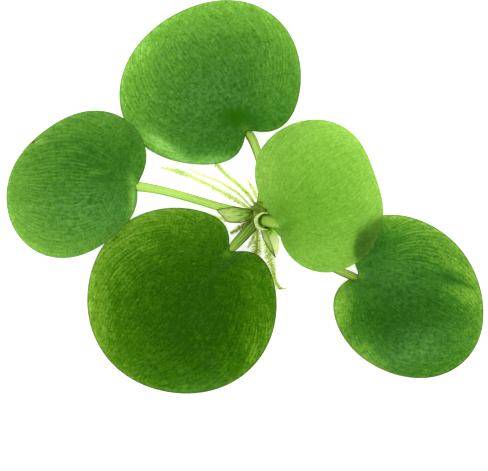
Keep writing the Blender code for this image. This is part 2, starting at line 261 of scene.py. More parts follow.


# Thin green skin over air-filled tissue: satin, pale yellow-green that lets light through, darker
# green between the ribs, painted shade along both flanks, and a reddish-brown bruised line near
# the leaf
stalk_skin, tree = new_material("stalk_thin_skin")
rib, flank, tone, bruise = (add_node(tree, "Attribute", out="Fac", attribute_name=key)
                            for key in ("rib", "flank", "tone", "bruise"))
place = add_node(tree, "Attribute", out="Vector", attribute_name="grain_place")
grain = add_node(tree, "TexNoise", {"Vector": place, "Scale": 2.2, "Detail": 3.0})
shade = add_node(tree, "Math", {0: tone, 1: 0.47}, operation="SUBTRACT")
for part, amount in ((grain, 0.95), (rib, 1.0), (flank, -0.45)):
    shade = add_node(tree, "Math", {0: part, 1: amount, 2: shade}, operation="MULTIPLY_ADD")
colour = add_node(tree, "ValToRGB", {"Fac": shade},
                  stops=[(0.0, "#47600C"), (0.3, "#79A42C"), (0.6, "#B2DC4C"), (1.0, "#DCFA8C")])
colour = add_node(tree, "Mix", {0: bruise, 6: colour, 7: linear("#86661A")}, out=2,
                  data_type="RGBA")
bump = add_node(tree, "Bump", {"Height": grain, "Strength": 0.35, "Distance": 0.00008})
thin_tissue(tree, colour, 0.5, 0.42, 0.25, bump)

for name, stalk in STALKS.items():
    points, turn, rib, share, rings = tube_points(
        stalk["route"], stalk["radii"], STALK_SIDES, STALK_STEP, stalk["ribs"], stalk["rib_depth"])
    # painted shade darkens both flanks, standing in for the dark edges of a see-through round stalk
    flank = np.clip((np.abs(np.cos(turn)) - 0.72) / 0.2, 0, 1)
    # the grain is drawn out along the stalk
    length = share * (rings - 1) * STALK_STEP
    grain_place = np.stack([np.cos(turn) * 2, np.sin(turn) * 2, length * 0.16], axis=1)
    # the bruised line runs along one edge of the part near the leaf
    bruise = np.zeros(len(turn))
    if "bruised_side" in stalk:
        aside = np.abs(np.angle(np.exp(1j * (turn - stalk["bruised_side"]))))
        bruise = BRUISE * np.clip((1.1 - aside) / 0.45, 0, 1) * np.clip((share - 0.45) / 0.2, 0, 1)
    add_piece("stalk_" + name.split("_")[1], points, tube_faces(rings, STALK_SIDES), [stalk_skin],
              name, "stalk", rib=rib * stalk["line"], flank=flank, bruise=bruise,
              tone=along_values(stalk["tone"], share), grain_place=grain_place)

# Leaves
# Five round floating blades with a notch at the stalk, waxy on top. Arched veins run from the
# stalk to the far side, 0.6 mm apart. The four grown leaves have a pad of air cells underneath
# that rests on the table. The young one is thinner, and its stalk holds it over the right leaf.

# Oval, egg and square give how much two, three and four lobes change the outline, and the
# direction in which each is fullest. A patch gives its place, half length, half width, turn and
# amount. Directions and turns are in degrees, counted from the right. Most tone patches are the
# leaf's own paler and darker places, but some are painted light: a dark streak between pale ones
# is a painted crease shade with painted highlights, a pale band is a painted sheen, and one dark
# patch is painted shade under the young leaf. The bloom patches paint that sheen too.
LEAVES = {
    "leaf_front": {
        "centre": (-12.56, -13.95), "radius": 15.11, "stalk_side": 46.0,
        "oval": (0.022, -31.0), "egg": (0.005, 100.0), "square": (0.006, 37.0),
        "notch": (3.65, 10.4), "margin_height": 1.25, "lean": (0.12, -20.0), "dome": 0.95,
        "deep": (-9.6, -16.2), "tone": (0.07, 0.36, 2.0), "seed": 11, "bloom": 0.0, "browned": 0.4,
        "patches": [(-0.5, -17.0, 3.0, 7.0, 0, 0.14), (-4.8, -7.4, 1.8, 1.2, 30, -0.06),
                    (-26.0, -15.0, 2.0, 6.0, 10, 0.12), (-1.5, -10.0, 2.5, 2.0, -45, 0.12),
                    (-1.0, -23.0, 3.0, 3.0, 0, 0.1)],
        "bloom_patches": [(-9.0, -27.5, 6.0, 1.2, 8, 0.12)],
        "striped": [(-21.0, -5.0, 6.0, 5.0, 45, 0.5), (-0.5, -20.0, 3.0, 6.0, 0, 0.5)],
        "colours": ("#2A5E00", "#488000", "#86B034", "#BBE26A"),
    },
    "leaf_back": {
        "centre": (-7.65, 20.79), "radius": 13.89, "stalk_side": -53.0,
        "oval": (0.071, 23.0), "egg": (0.026, -49.0), "square": (0.008, -52.0),
        "notch": (4.15, 15.2), "margin_height": 1.2, "lean": (0.35, 50.0), "dome": 0.9,
        "deep": (-5.1, 15.8), "tone": (0.08, 0.4, 1.8), "seed": 23, "bloom": 0.14, "browned": 0.3,
        # the long pale patches at (-15.2, 10.7) and (-7.5, 8.5), also in the bloom patches, are a
        # painted sheen band along the lower-left margin, and the dark one at (-3.8, 15.4) is
        # painted shade in a crease
        "patches": [(1.5, 19.5, 3.0, 5.0, 0, 0.13), (-7.0, 34.0, 7.0, 2.0, 0, -0.06),
                    (-3.8, 15.4, 3.2, 1.2, -15, -0.14), (-18.6, 26.0, 2.6, 1.4, 50, 0.12),
                    (-15.2, 10.7, 5.0, 1.1, -34, 0.55), (-7.5, 8.5, 4.2, 1.0, 6, 0.5)],
        "bloom_patches": [(-15.2, 10.7, 5.0, 1.1, -34, 0.5), (-7.5, 8.6, 4.2, 1.0, 6, 0.45),
                          (-8.0, 18.5, 6.0, 5.0, 0, 0.16), (-3.8, 15.4, 3.2, 1.6, -15, -0.25)],
        "striped": [(-16.0, 20.0, 4.0, 6.0, -20, 0.4), (2.0, 22.0, 3.0, 6.0, 0, 0.4)],
        "colours": ("#2F7100", "#528F24", "#84BC3E", "#BAEE7A"),
    },
    "leaf_left": {
        "centre": (-29.02, 4.78), "radius": 11.45, "stalk_side": -0.9,
        "oval": (0.117, 45.0), "egg": (0.004, 26.0), "square": (0.009, -24.0),
        "notch": (1.95, 20.5), "margin_height": 1.83, "lean": (0.6, 5.0), "dome": 0.7,
        "deep": (-25.6, 6.2), "tone": (0.12, 0.33, 1.8), "seed": 37, "bloom": 0.08, "browned": 0.12,
        # the dark patch at (-24.6, 5.7) and the pale one beside it are a painted crease shade and a
        # painted highlight
        "patches": [(-24.6, 5.7, 1.5, 0.5, 2, -0.26), (-25.6, 6.6, 1.9, 0.35, 6, 0.2),
                    (-27.5, 9.0, 4.0, 1.6, 8, -0.08), (-27.0, 14.4, 5.0, 1.6, 10, 0.08),
                    (-20.3, 3.2, 0.7, 1.3, -12, 0.5), (-20.4, 1.0, 0.5, 1.4, -14, 0.45),
                    (-20.5, 5.7, 0.7, 0.9, 20, 0.3),
                    (-35.2, 11.6, 0.8, 0.35, 20, 0.4), (-22.4, 8.6, 1.4, 0.9, 60, -0.12)],
        "bloom_patches": [(-28.0, 0.5, 7.0, 4.0, 0, 0.26)],
        "striped": [(-31.0, 6.0, 8.0, 8.0, 0, 0.7)],
        "nick": (-36.3, 11.54),
        "colours": ("#30710C", "#589029", "#82B547", "#BCEE6C"),
    },
    "leaf_right": {
        "centre": (23.29, -13.27), "radius": 12.74, "stalk_side": 153.8,
        "oval": (0.088, 127.0), "egg": (0.006, 99.0), "square": (0.013, 129.0),
        "notch": (4.8, 18.5), "margin_height": 1.25, "lean": (0.1, 60.0), "dome": 0.85,
        "lobe": (2.3, 134.0, 18.0), "deep": (22.7, -17.0), "tone": (0.09, 0.38, 1.9),
        "seed": 41, "bloom": 0.03, "browned": 0.35,
        # the dark patch at (17.5, -4.0) is painted shade on the lobe under the young leaf, the dark
        # streak at (31.4, -10.7) between two pale ones is a painted crease shade with painted
        # highlights, and the pale patch at (25.0, -22.0) with the bloom patch at (25.0, -21.5) is a
        # painted sheen
        "patches": [(12.9, -15.0, 2.0, 4.0, -5, 0.4), (17.0, -22.3, 4.4, 1.8, -45, 0.32),
                    (17.5, -4.0, 3.5, 4.0, -30, -0.34), (24.0, -3.5, 4.0, 2.4, -20, -0.1),
                    (25.0, -22.0, 6.0, 2.4, 15, 0.15),
                    (31.5, -8.6, 3.0, 0.9, -24, 0.2), (31.4, -10.7, 3.4, 0.4, -20, -0.26),
                    (31.8, -12.6, 2.8, 1.3, -15, 0.24), (34.5, -13.5, 1.4, 4.0, 5, 0.14)],
        "bloom_patches": [(22.0, -9.5, 6.0, 4.0, 0, 0.14), (25.0, -21.5, 7.0, 3.0, 15, 0.28)],
        "striped": [(26.0, -4.5, 7.0, 4.0, -25, 0.8), (33.0, -17.0, 2.5, 5.0, 0, 0.5)],
        "colours": ("#2A620D", "#478520", "#82B23A", "#B6E36A"),
    },
    "leaf_young": {
        "centre": (9.63, 3.04), "radius": 10.88, "stalk_side": -145.0,
        "oval": (0.141, -69.0), "egg": (0.023, -85.0), "square": (0.023, -110.0),
        "notch": (0.85, 11.1), "margin_height": 5.2, "lean": (2.9, 175.0), "dome": 0.5,
        "deep": (8.0, 1.4), "tone": (0.25, 0.28, 1.5), "seed": 59, "bloom": 0.0, "browned": 0.06,
        "patches": [(14.0, 9.5, 3.5, 1.6, -50, -0.05), (2.4, 0.0, 2.0, 1.0, 40, -0.14),
                    (0.8, 6.0, 2.2, 5.0, 0, 0.27), (9.0, -6.5, 5.0, 2.0, 0, 0.1),
                    (18.0, 2.0, 1.5, 5.0, 0, 0.08)],
        "bloom_patches": [],
        "striped": [(12.0, 8.0, 5.0, 5.0, 0, 0.3)],
        "colours": ("#83B53A", "#A0CC5C", "#C0E47C", "#E8FFB0"),
    },
}
MARGIN_THICKNESS = 0.45
PAD_SHARE = 0.64
YOUNG_MARGIN_THICKNESS = 0.3
YOUNG_PAD_THICKNESS = 0.15
TOUCHING = 0.05
LEAF_DIRECTIONS = 320
TOP_RINGS = 78
UNDER_RINGS = 58
RIM_WIDTH = 0.35
RIM_RINGS = 6
JOINT_INSET = 0.7
TIP_OUTSET = 1.5
VEIN_SPACING = 0.62
VEIN_CLEARNESS = 0.3
MAIN_VEIN_WIDTH = 0.07
MAIN_VEIN_GROOVE = 0.035
MAIN_VEIN_RIDGE = 0.04
WAVE_HEIGHT = 0.1
PUCKER_WIDTH = 5.5
PUCKER_HEIGHT = 0.09
MARGIN_PUCKER_HEIGHT = 0.04
DIMPLE_RADIUS = 1.5
DIMPLE_DEPTH = 0.1
AIR_CELL = 0.95
YOUNG_AIR_CELL = 0.7
PAD_WALL_HEIGHT = 0.16
MARGIN_WALL_HEIGHT = 0.03
PALE_RING = 0.09
PALE_JOINT = 0.3
PALE_JOINT_RADIUS = 0.85
DARK_MARGIN = 0.28
NICK_RADIUS = 0.3
LIGHT_THROUGH = 0.62
YOUNG_LIGHT_THROUGH = 0.95


def soft_step(value):
    """A share from 0 to 1 that starts and ends softly."""
    value = np.clip(value, 0, 1)
    return value * value * (3 - 2 * value)


def unevenness(x, y, seed, wavelength):
    """A soft natural unevenness over the plane, between about -1 and 1."""
    draw = np.random.default_rng(seed)
    total = np.zeros_like(x)
    for turn in draw.uniform(0, math.pi, 14):
        pitch = 2 * math.pi / (wavelength * draw.uniform(0.65, 1.6))
        across = x * math.cos(turn) + y * math.sin(turn)
        total = total + np.sin(across * pitch + draw.uniform(0, 2 * math.pi))
    return total / 5


def soft_patches(x, y, patches):
    """The sum of long soft patches."""
    total = np.zeros_like(x)
    for patch_x, patch_y, length, width, turned, amount in patches:
        cosine, sine = math.cos(math.radians(turned)), math.sin(math.radians(turned))
        ahead = ((x - patch_x) * cosine + (y - patch_y) * sine) / length
        aside = ((y - patch_y) * cosine - (x - patch_x) * sine) / width
        total = total + amount * np.exp(-ahead ** 2 - aside ** 2)
    return total


def leaf_reach(leaf, direction):
    """Distance from the leaf's centre to its margin, in directions counted from the stalk side."""
    shape = 1.0
    for lobes, key in ((2, "oval"), (3, "egg"), (4, "square")):
        amount, fullest = leaf[key]
        fullest = math.radians(fullest - leaf["stalk_side"])
        shape = shape + amount * np.cos(lobes * (direction - fullest))
    depth, width = leaf["notch"]
    notch = depth * np.exp(-np.abs(direction / math.radians(width)) ** 1.5)
    return leaf["radius"] * shape - notch


def leaf_heights(leaf, share, turn, raised):
    """Heights of the smooth underside and top, at shares of the reach and directions."""
    amount, raised_side = leaf["lean"]
    lift = amount * np.cos(turn - math.radians(raised_side)) * (share if raised else share ** 2)
    if "lobe" in leaf:
        rise, middle, width = leaf["lobe"]
        aside = np.mod(turn - math.radians(middle) + math.pi, 2 * math.pi) - math.pi
        lift = lift + rise * np.exp(-(aside / math.radians(width)) ** 2) * share ** 3
    low = leaf["margin_height"] + lift
    edge = YOUNG_MARGIN_THICKNESS if raised else MARGIN_THICKNESS
    top = low + edge + leaf["dome"] * (1 - share ** 2.2)
    rim = soft_step((share - PAD_SHARE) / (1 - PAD_SHARE))
    if raised:
        return top - edge - YOUNG_PAD_THICKNESS * (1 - rim), top
    return low * rim, top


def vein_place(x, y, joint, tip):
    """How far each point's arched vein bulges from the midrib, and the place along it."""
    span = math.dist(joint, tip)
    to_joint = (joint[0] - x, joint[1] - y)
    to_tip = (tip[0] - x, tip[1] - y)
    cross = to_joint[0] * to_tip[1] - to_joint[1] * to_tip[0]
    dot = to_joint[0] * to_tip[0] + to_joint[1] * to_tip[1]
    seen = np.arctan2(np.abs(cross), dot)
    bulge = np.sign(cross) * span / 2 * np.tan(np.minimum((math.pi - seen) / 2, 1.38))
    near = np.hypot(*to_joint) + 0.15
    far = np.hypot(*to_tip) + 0.15
    return bulge, np.log(near / far) * span / 4


def cell_walls(x, y, spacing, seed):
    """1 on the walls between packed air cells and 0 in the middle of each cell."""
    draw = np.random.default_rng(seed)
    columns = np.arange(x.min() - 1, x.max() + 1, spacing)
    rows = np.arange(y.min() - 1, y.max() + 1, spacing * 0.87)
    middles = np.array([(column + number % 2 * spacing / 2, row)
                        for number, row in enumerate(rows) for column in columns])
    middles = middles + draw.uniform(-0.22, 0.22, middles.shape) * spacing
    cells = KDTree(len(middles))
    for number, (middle_x, middle_y) in enumerate(middles):
        cells.insert((middle_x, middle_y, 0), number)
    cells.balance()
    walls = np.empty(len(x))
    for number, (point_x, point_y) in enumerate(zip(x, y)):
        nearest, second = cells.find_n((point_x, point_y, 0), 2)
        walls[number] = second[2] - nearest[2]
    return 1 - soft_step(walls / (spacing * 0.55))


def leaf_skin(name, colours, see_through):
    """Waxy green leaf skin: satin, with veins, streaks and small cells that let light through."""
    skin, tree = new_material(name)
    tone, bloom, spot = (add_node(tree, "Attribute", out="Fac", attribute_name=key)
                         for key in ("tone", "bloom", "spot"))
    veins = add_node(tree, "Attribute", out="Vector", attribute_name="veins")
    vein, along, clearness = add_node(tree, "SeparateXYZ", {0: veins}).node.outputs
    place = add_node(tree, "TexCoord", out="Object")
    wander = add_node(tree, "TexNoise", {"Vector": place, "Scale": 420.0, "Detail": 2.0})
    vein = add_node(tree, "Math", {0: wander, 1: 0.9, 2: vein}, operation="MULTIPLY_ADD")
    # a pale thread on each vein, in runs 3 to 8 mm long, and darker tissue between them
    off_vein = add_node(tree, "Math", {0: vein, 1: 0.5}, operation="PINGPONG")
    thread = add_node(tree, "MapRange", {"Value": off_vein, "From Min": 0.06, "From Max": 0.42,
                                         "To Min": 1.0, "To Max": 0.0},
                      interpolation_type="SMOOTHSTEP")
    whole = add_node(tree, "Math", {0: vein}, operation="ROUND")
    own_row = add_node(tree, "Math", {0: whole, 1: 7.31}, operation="MULTIPLY")
    run_place = add_node(tree, "CombineXYZ", {0: own_row, 1: along})
    runs = add_node(tree, "TexNoise", {"Vector": run_place, "Scale": 0.3, "Detail": 2.0})
    runs = add_node(tree, "MapRange", {"Value": runs, "From Min": 0.36, "From Max": 0.58})
    thread = add_node(tree, "Math", {0: thread, 1: runs}, operation="MULTIPLY")
    thread = add_node(tree, "Math", {0: thread, 1: clearness}, operation="MULTIPLY")
    # lengthwise streaks between the veins, and pale dashes 1 mm long
    stretched = add_node(tree, "Mapping", {"Vector": veins, "Scale": (1.3, 0.3, 0.0)})
    streaks = add_node(tree, "TexNoise", {"Vector": stretched, "Scale": 1.0, "Detail": 4.0,
                                          "Roughness": 0.65})
    shorter = add_node(tree, "Mapping", {"Vector": veins, "Scale": (2.2, 0.9, 0.0)})
    dashes = add_node(tree, "TexNoise", {"Vector": shorter, "Scale": 1.0, "Detail": 1.0})
    dashes = add_node(tree, "MapRange", {"Value": dashes, "From Min": 0.52, "From Max": 0.7})
    # a net of small cells, 0.4 mm across
    in_mm = add_node(tree, "Mapping", {"Vector": place, "Scale": (1000.0, 1000.0, 1000.0)})
    net = add_node(tree, "TexVoronoi", {"Vector": in_mm, "Scale": 2.4, "Randomness": 0.9},
                   voronoi_dimensions="2D")
    mottle = add_node(tree, "TexNoise", {"Vector": in_mm, "Scale": 1.1, "Detail": 5.0,
                                         "Roughness": 0.68})
    shade = add_node(tree, "Math", {0: tone, 1: 0.48}, operation="SUBTRACT")
    for part, amount in ((thread, 0.22), (streaks, 0.46), (dashes, 0.12), (net, -0.26),
                         (mottle, 0.6)):
        shade = add_node(tree, "Math", {0: part, 1: amount, 2: shade}, operation="MULTIPLY_ADD")
    colour = add_node(tree, "ValToRGB", {"Fac": shade},
                      stops=list(zip((0.05, 0.35, 0.7, 1.0), colours)))
    # a thin bluish bloom of wax, in fine grains, that in places is a painted sheen, and the brown
    # of bruised spots
    grains = add_node(tree, "TexNoise", {"Vector": in_mm, "Scale": 1.6, "Detail": 5.0,
                                         "Roughness": 0.7})
    grains = add_node(tree, "MapRange", {"Value": grains, "From Min": 0.38, "From Max": 0.62})
    film = add_node(tree, "Math", {0: grains, 1: bloom}, operation="MULTIPLY")
    for amount, tint in ((film, "#93CF88"), (spot, "#6C5024")):
        colour = add_node(tree, "Mix", {0: amount, 6: colour, 7: linear(tint)}, out=2,
                          data_type="RGBA")
    relief = add_node(tree, "Math", {0: thread, 1: 0.35, 2: streaks}, operation="MULTIPLY_ADD")
    relief = add_node(tree, "Math", {0: net, 1: -0.5, 2: relief}, operation="MULTIPLY_ADD")
    bump = add_node(tree, "Bump", {"Height": relief, "Strength": 0.35, "Distance": 0.00008})
    gloss = add_node(tree, "MapRange", {"Value": mottle, "To Min": 0.3, "To Max": 0.5})
    thin_tissue(tree, colour, see_through, gloss, 0.15, bump)
    return skin


# Spongy underside: matt, pale green, whiter on the walls between the air cells
spongy_underside, tree = new_material("leaf_spongy_underside")
wall = add_node(tree, "Attribute", out="Fac", attribute_name="wall")
place = add_node(tree, "TexCoord", out="Object")
speckle = add_node(tree, "TexNoise", {"Vector": place, "Scale": 1800.0, "Detail": 4.0})
shade = add_node(tree, "Math", {0: speckle, 1: 0.4, 2: wall}, operation="MULTIPLY_ADD")
colour = add_node(tree, "ValToRGB", {"Fac": shade},
                  stops=[(0.1, "#A9CF86"), (0.6, "#C3DFA4"), (1.2, "#E4F0CC")])
bump = add_node(tree, "Bump", {"Height": speckle, "Strength": 0.3, "Distance": 0.00006})
surface = add_node(tree, "BsdfPrincipled", {"Base Color": colour, "Roughness": 0.6,
                                            "Specular IOR Level": 0.3, "Normal": bump})
glow = add_node(tree, "BsdfTranslucent", {"Color": colour})
mixed = add_node(tree, "MixShader", {0: 0.9, 1: surface, 2: glow})
add_node(tree, "OutputMaterial", {"Surface": mixed})

for name, leaf in LEAVES.items():
    raised = name == "leaf_young"
    stalk_side = math.radians(leaf["stalk_side"])
    # the points stand closer together near the notch
    spread = np.arange(LEAF_DIRECTIONS) * 2 / LEAF_DIRECTIONS - 1
    direction = np.sign(spread) * math.pi * np.abs(spread) ** 1.2
    reach = leaf_reach(leaf, direction)
    rim = RIM_WIDTH / reach
    # rings from the middle of the top, out round the rounded margin, and back in underneath
    rounding = np.linspace(0, math.pi / 2, RIM_RINGS + 1)[1:]
    rounded = [1 - rim * (1 - math.sin(turned)) for turned in rounding]
    top_rings = [part * (1 - rim) for part in np.linspace(0, 1, TOP_RINGS + 1)[1:]] + rounded
    under_rings = [part * (1 - rim) for part in np.linspace(0, 1, UNDER_RINGS + 1)[1:]]
    under_rings += rounded[:-1]
    rings = len(top_rings) + len(under_rings)
    fullness = np.concatenate([np.ones(TOP_RINGS), np.cos(rounding), np.cos(rounding[-2::-1]),
                               np.ones(UNDER_RINGS)])
    on_top = np.arange(rings) < len(top_rings)
    # the two middle points close the rings
    share = np.append(top_rings + under_rings[::-1], [0.0, 0.0])
    turn = np.append(np.tile(stalk_side + direction, rings), [0.0, 0.0])
    reach = np.append(np.tile(reach, rings), [leaf["radius"]] * 2)
    fullness = np.append(np.repeat(fullness, LEAF_DIRECTIONS), [1.0, 1.0])
    on_top = np.append(np.repeat(on_top, LEAF_DIRECTIONS), [True, False])
    x = leaf["centre"][0] + share * reach * np.cos(turn)
    y = leaf["centre"][1] + share * reach * np.sin(turn)
    from_margin = (1 - share) * reach
    # the veins run between the stalk's joint and a place just past the far margin
    to_stalk = np.array([math.cos(stalk_side), math.sin(stalk_side)])
    joint = leaf["centre"] + (leaf_reach(leaf, np.zeros(1))[0] - JOINT_INSET) * to_stalk
    tip = leaf["centre"] - (leaf["radius"] + TIP_OUTSET) * to_stalk
    from_joint = np.hypot(x - joint[0], y - joint[1])
    bulge, along = vein_place(x, y, joint, tip)
    # they fade where they crowd together
    step = 0.05
    beside, _ = vein_place(x + step, y, joint, tip)
    above, _ = vein_place(x, y + step, joint, tip)
    crowding = np.hypot(beside - bulge, above - bulge) / step
    fade = soft_step((1 / np.maximum(crowding, 0.05) - 0.25) / 0.5)
    # the blade's own relief
    under, top = leaf_heights(leaf, share, turn, raised)
    outer = soft_step((share - 0.55) / 0.45)
    waves = sum(np.sin(count * turn + leaf["seed"] * count) for count in (3, 5, 8)) / 3
    puckers = unevenness(x, y, leaf["seed"], PUCKER_WIDTH)
    dimple = np.exp(-(from_joint / DIMPLE_RADIUS) ** 2)
    off_main_vein = np.mod(bulge / (leaf["radius"] / 3) + 0.5, 1) - 0.5
    main_vein = fade * np.exp(-(off_main_vein / MAIN_VEIN_WIDTH) ** 2)
    shared = outer * (WAVE_HEIGHT * waves + MARGIN_PUCKER_HEIGHT * puckers)
    top = top + shared + PUCKER_HEIGHT * puckers * (1 - 0.6 * outer)
    top = top - DIMPLE_DEPTH * dimple - MAIN_VEIN_GROOVE * main_vein
    walls = cell_walls(x, y, YOUNG_AIR_CELL if raised else AIR_CELL, leaf["seed"])
    pad = 1 - soft_step((share - 0.45) / 0.5)
    wall_height = (PAD_WALL_HEIGHT * pad + MARGIN_WALL_HEIGHT) * (0.4 if raised else 1.0)
    under = under + shared * (1 if raised else outer)
    under = under + walls * wall_height - MAIN_VEIN_RIDGE * main_vein * outer
    under = np.maximum(under, 0.0)
    if "lobe" in leaf:
        # this lobe is pressed up against the young leaf over it
        young = LEAVES["leaf_young"]
        ahead, aside = x - young["centre"][0], y - young["centre"][1]
        turn_there = np.arctan2(aside, ahead)
        direction = np.angle(np.exp(1j * (turn_there - math.radians(young["stalk_side"]))))
        share_there = np.hypot(ahead, aside) / leaf_reach(young, direction)
        ceiling = leaf_heights(young, np.minimum(share_there, 1), turn_there, True)[0] - TOUCHING
        sunk = np.where(share_there < 1.04, np.maximum(top - ceiling, 0), 0)
        top, under = top - sunk, np.maximum(under - sunk, 0)
    z = (top + under) / 2 + np.where(on_top, 1, -1) * (top - under) / 2 * fullness
    # tones from the deepest place out, with a pale ring inside the margin and a pale joint
    start, rise, power = leaf["tone"]
    from_deep = np.hypot(x - leaf["deep"][0], y - leaf["deep"][1]) / leaf["radius"]
    tone = start + rise * from_deep ** power + soft_patches(x, y, leaf["patches"])
    tone = tone + 0.025 * unevenness(x, y, leaf["seed"] + 1, 5.0)
    tone = tone + PALE_RING * np.exp(-((from_margin - 0.35) / 0.3) ** 2)
    tone = tone + PALE_JOINT * np.exp(-(from_joint / PALE_JOINT_RADIUS) ** 2)
    # the rim is thin and a little browned all round, and a nick in it more so
    tone = tone - DARK_MARGIN * leaf["browned"] * np.exp(-(from_margin / 0.14) ** 2)
    spot = leaf["browned"] * np.exp(-(from_margin / 0.16) ** 2)
    if "nick" in leaf:
        from_nick = np.hypot(x - leaf["nick"][0], y - leaf["nick"][1])
        spot = np.maximum(spot, 0.95 * np.exp(-(from_nick / NICK_RADIUS) ** 4))
    # the bloom is a waxy bloom, and where its patches lie on pale bands it is a painted sheen
    bloom = leaf["bloom"] + soft_patches(x, y, leaf["bloom_patches"])
    clearness = fade * (VEIN_CLEARNESS + soft_patches(x, y, leaf["striped"]))
    veins = np.stack([bulge / VEIN_SPACING, along, clearness], axis=1)
    # the rings' faces, a fan in the middle of the top and one in the middle of the underside
    faces = ring_faces(rings, LEAF_DIRECTIONS)
    side = np.arange(LEAF_DIRECTIONS)
    following = (side + 1) % LEAF_DIRECTIONS
    last = (rings - 1) * LEAF_DIRECTIONS
    middle = np.full(LEAF_DIRECTIONS, rings * LEAF_DIRECTIONS)
    faces += np.stack([middle, side, following], axis=1).tolist()
    faces += np.stack([middle + 1, last + following, last + side], axis=1).tolist()
    kinds = np.zeros(len(faces), int)
    kinds[(len(top_rings) - 1) * LEAF_DIRECTIONS:last] = 1
    kinds[-LEAF_DIRECTIONS:] = 1
    skin = leaf_skin(name + "_waxy_skin", leaf["colours"],
                     YOUNG_LIGHT_THROUGH if raised else LIGHT_THROUGH)
    add_piece("blade_" + name.split("_")[1], np.stack([x, y, z], axis=1), faces,
              [skin, spongy_underside], name, "young_leaf" if raised else "leaf", kinds,
              veins=veins, tone=tone, bloom=bloom, spot=spot, wall=walls)

# Sheaths and bracts
# Thin papery scales that wrap the young parts: two cells thick, see-through olive green, with
# fine veins and a darker rolled edge. They grow from the crown between the stalks.

# The outline is how dark the left and the right edge are, seen from the crown
SCALES = {
    "sheath_left": {
        "route": [(-1.2, -0.1, 3.0), (-1.85, -0.05, 3.1), (-3.2, -0.2, 3.15), (-4.7, -0.1, 3.2),
                  (-5.6, 0.2, 3.3), (-6.9, 0.6, 3.3)],
        "half_widths": (0.5, 0.9, 1.25, 1.3, 0.85, 0.08), "arch": 0.75, "curl": 0.25,
        "tone": (0.65, 1.1, 1.4, 1.45), "veined": 1.05, "outline": (0.95, 1.0),
    },
    "sheath_right": {
        "route": [(0.8, -1.6, 2.5), (1.1, -2.15, 2.5), (1.9, -3.4, 2.4), (2.3, -4.5, 2.1),
                  (2.6, -5.6, 1.8), (2.7, -6.5, 1.6)],
        "half_widths": (0.3, 0.5, 0.85, 0.8, 0.5, 0.08), "arch": 0.15, "curl": 0.08,
        "tone": (0.25, 0.5, 1.4, 1.5, 1.5), "veined": 0.3, "outline": (0.0, 0.05),
    },
    "sheath_front": {
        "route": [(-0.5, -1.8, 1.3), (-0.65, -2.2, 1.3), (-0.9, -3.2, 1.2), (-1.25, -4.1, 1.1),
                  (-1.65, -4.9, 1.0), (-2.0, -5.5, 0.95)],
        "half_widths": (0.12, 0.14, 0.2, 0.24, 0.22, 0.06), "arch": 0.1, "curl": 0.03,
        "tone": (0.65, 0.95, 1.0), "veined": 0.3, "outline": (0.3, 0.2),
    },
    "bract_front": {
        "route": [(0.3, -1.9, 3.0), (0.38, -2.35, 3.1), (0.9, -3.7, 3.2), (1.4, -4.8, 3.0),
                  (1.95, -5.9, 2.6), (2.5, -7.0, 2.1)],
        "half_widths": (0.35, 0.4, 0.5, 0.44, 0.28, 0.05), "arch": 0.15, "curl": 0.06,
        "tone": (0.65, 1.15, 1.4, 1.0, 0.3), "veined": 0.6, "outline": (0.45, 0.8),
    },
    "bract_back": {
        "route": [(-0.5, 1.3, 3.4), (-0.35, 1.72, 3.55), (0.3, 1.55, 3.8), (1.05, 1.1, 3.95),
                  (1.7, 0.45, 4.05), (2.15, -0.15, 4.05)],
        "half_widths": (0.22, 0.25, 0.35, 0.35, 0.25, 0.06), "arch": 0.1, "curl": 0.05,
        "tone": (0.5, 0.75, 0.7), "veined": 0.35, "outline": (0.85, 0.15),
    },
}
SCALE_THICKNESS = 0.12
SCALE_ROWS = 60
SCALE_COLUMNS = 45
SCALE_EDGE = 0.14
SCALE_RUFFLE = 0.05
SCALE_LIFT = 0.2

# Papery membrane: satin, see-through, yellowish green with darker veins and edge
papery_membrane, tree = new_material("sheath_papery_membrane")
tone, vein, edge = (add_node(tree, "Attribute", out="Fac", attribute_name=key)
                    for key in ("tone", "vein", "edge"))
place = add_node(tree, "TexCoord", out="Object")
fleck = add_node(tree, "TexNoise", {"Vector": place, "Scale": 1500.0, "Detail": 4.0})
shade = add_node(tree, "Math", {0: tone, 1: 0.65}, operation="SUBTRACT")
for part, amount in ((fleck, 1.3), (vein, -1.0)):
    shade = add_node(tree, "Math", {0: part, 1: amount, 2: shade}, operation="MULTIPLY_ADD")
colour = add_node(tree, "ValToRGB", {"Fac": shade},
                  stops=[(0.0, "#323F0C"), (0.27, "#7B992B"), (0.55, "#BCDE62"), (0.8, "#E4FAA0"),
                         (1.0, "#FAFFD8")])
colour = add_node(tree, "Mix", {0: edge, 6: colour, 7: linear("#171A05")}, out=2,
                  data_type="RGBA")
bump = add_node(tree, "Bump", {"Height": vein, "Strength": 0.4, "Distance": 0.0001})
thin_tissue(tree, colour, 0.95, 0.4, 0.3, bump)


def sheet_faces(rows, columns):
    """Faces of a closed thin sheet whose upper points come first and lower points after."""
    row, column = np.meshgrid(np.arange(rows - 1), np.arange(columns - 1), indexing="ij")
    a = (row * columns + column).ravel()
    under = rows * columns
    upper = np.stack([a, a + 1, a + columns + 1, a + columns], axis=1)
    faces = upper.tolist() + (upper[:, ::-1] + under).tolist()
    border = [(0, column) for column in range(columns)]
    border += [(row, columns - 1) for row in range(1, rows)]
    border += [(rows - 1, column) for column in range(columns - 2, -1, -1)]
    border += [(row, 0) for row in range(rows - 2, 0, -1)]
    ring = [row * columns + column for row, column in border]
    for here, there in zip(ring, ring[1:] + ring[:1]):
        faces.append([there, here, here + under, there + under])
    return faces


